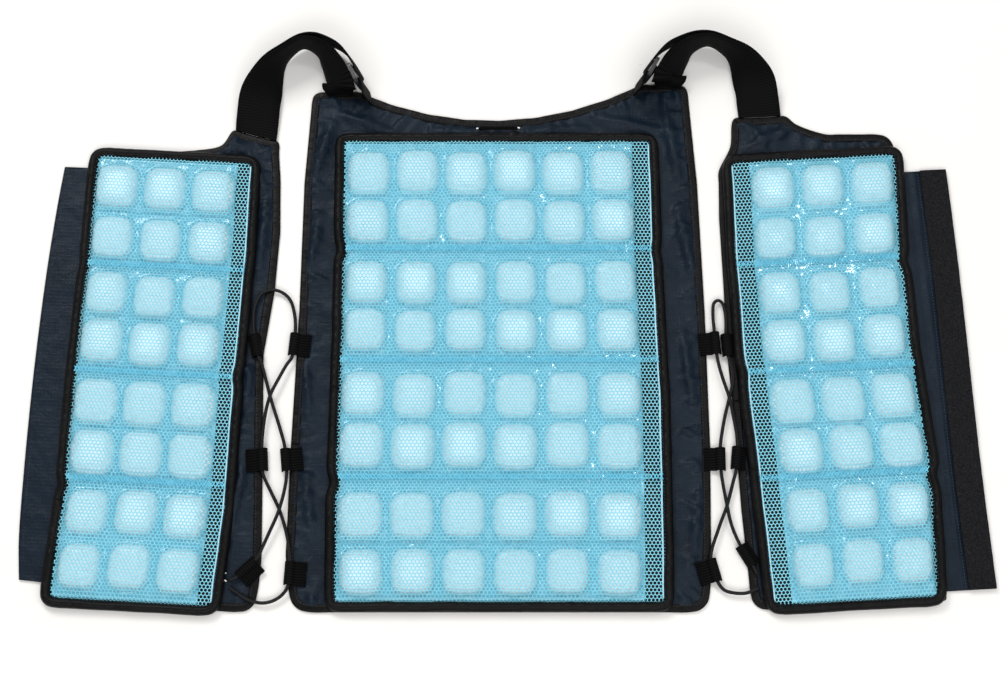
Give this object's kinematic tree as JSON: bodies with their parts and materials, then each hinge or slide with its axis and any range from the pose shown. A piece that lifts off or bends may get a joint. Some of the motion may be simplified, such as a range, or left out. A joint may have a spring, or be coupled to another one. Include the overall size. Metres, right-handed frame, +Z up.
{
  "type": "cooling vest",
  "caption": "Sleeveless cooling vest lying open, inside up: ripstop panels, net pouches over cold packs of pillow cells, webbing shoulder straps with slide buckles and elastic side lacing.",
  "frame": {"origin": "on the surface that the vest lies on, under the middle of its outer box", "axes": "+X across the open vest towards the panel with the hook strip, +Y towards the neckline, +Z up from the surface"},
  "size_m": [0.8326, 0.5202, 0.0511],
  "materials": {
    "shell": "navy ripstop taffeta, semi-matt",
    "binding": "black satin ribbon binding, stitched",
    "backing": "black cloth, matt",
    "gel_film": "clear film over pale blue gel, glossy",
    "net": "light blue polyester mesh",
    "webbing": "black ribbed nylon webbing",
    "cord": "black round elastic cord, braided cover",
    "hook": "black hook tape, fuzzy",
    "buckle": "black moulded plastic, satin"
  },
  "bodies": {
    "root": {"back_shell": "shell", "back_hem": "binding", "back_pouch_backing": "backing", "back_cold_pack": "gel_film", "back_net_face": "net", "back_pouch_trim": "binding", "left_front_shell": "shell", "left_front_hem": "binding", "left_front_pouch_backing": "backing", "left_front_cold_pack": "gel_film", "left_front_net_face": "net", "left_front_pouch_trim": "binding", "right_front_shell": "shell", "right_front_hem": "binding", "right_front_pouch_backing": "backing", "right_front_cold_pack": "gel_film", "right_front_net_face": "net", "right_front_pouch_trim": "binding", "closure_flap": "shell", "closure_fly": "shell", "hook_strip": "hook", "left_strap_inner": "webbing", "left_strap_outer": "webbing", "left_slide_buckle": "buckle", "right_strap_inner": "webbing", "right_strap_outer": "webbing", "right_slide_buckle": "buckle", "left_lace": "cord", "right_lace": "cord", "keeper_left_front_bottom": "webbing", "keeper_back_left_middle": "webbing", "keeper_left_front_top": "webbing", "keeper_back_left_top": "webbing", "keeper_left_front_middle": "webbing", "keeper_back_left_bottom": "webbing", "keeper_right_front_bottom": "webbing", "keeper_back_right_middle": "webbing", "keeper_right_front_top": "webbing", "keeper_back_right_top": "webbing", "keeper_right_front_middle": "webbing", "keeper_back_right_bottom": "webbing"}
  },
  "joints": []
}
